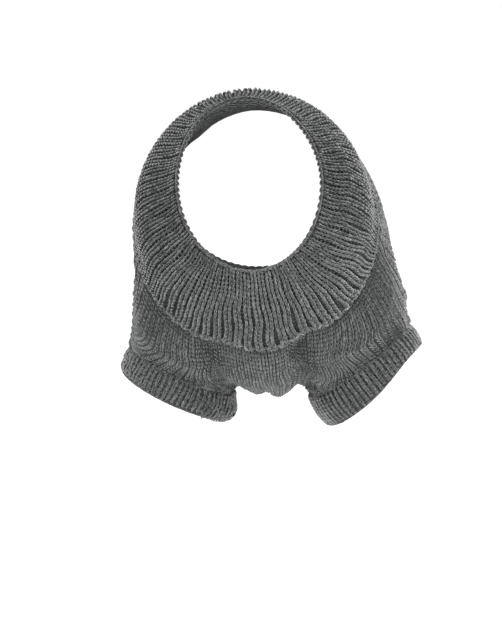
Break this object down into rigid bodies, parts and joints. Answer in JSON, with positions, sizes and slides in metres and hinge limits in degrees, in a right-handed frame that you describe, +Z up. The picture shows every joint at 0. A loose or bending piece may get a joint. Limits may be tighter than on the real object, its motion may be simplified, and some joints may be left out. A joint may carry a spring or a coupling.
{
  "type": "dog sweater",
  "caption": "Knitted dog sweater in its worn, hollow form: wide ribbed collar, leg openings with ribbed cuffs, open hem.",
  "frame": {"origin": "where the wearer's withers hold the garment up, on the inside of the back panel", "axes": "+Z up, -Y towards the wearer's head, +X towards the wearer's left side; the garment is rolled 5.5 degrees about Y, its left side up"},
  "size_m": [0.1698, 0.4263, 0.1876],
  "materials": {
    "plain_knit": "heather grey yarn in plain stockinette knit, matt and slightly fuzzy",
    "rib_knit": "heather grey yarn in 1x1 rib, matt and slightly fuzzy"
  },
  "bodies": {
    "root": {"front_panel": "plain_knit", "back_panel": "plain_knit", "collar": "rib_knit", "cuff_left": "rib_knit", "cuff_right": "rib_knit", "hem_band": "rib_knit"}
  },
  "joints": []
}
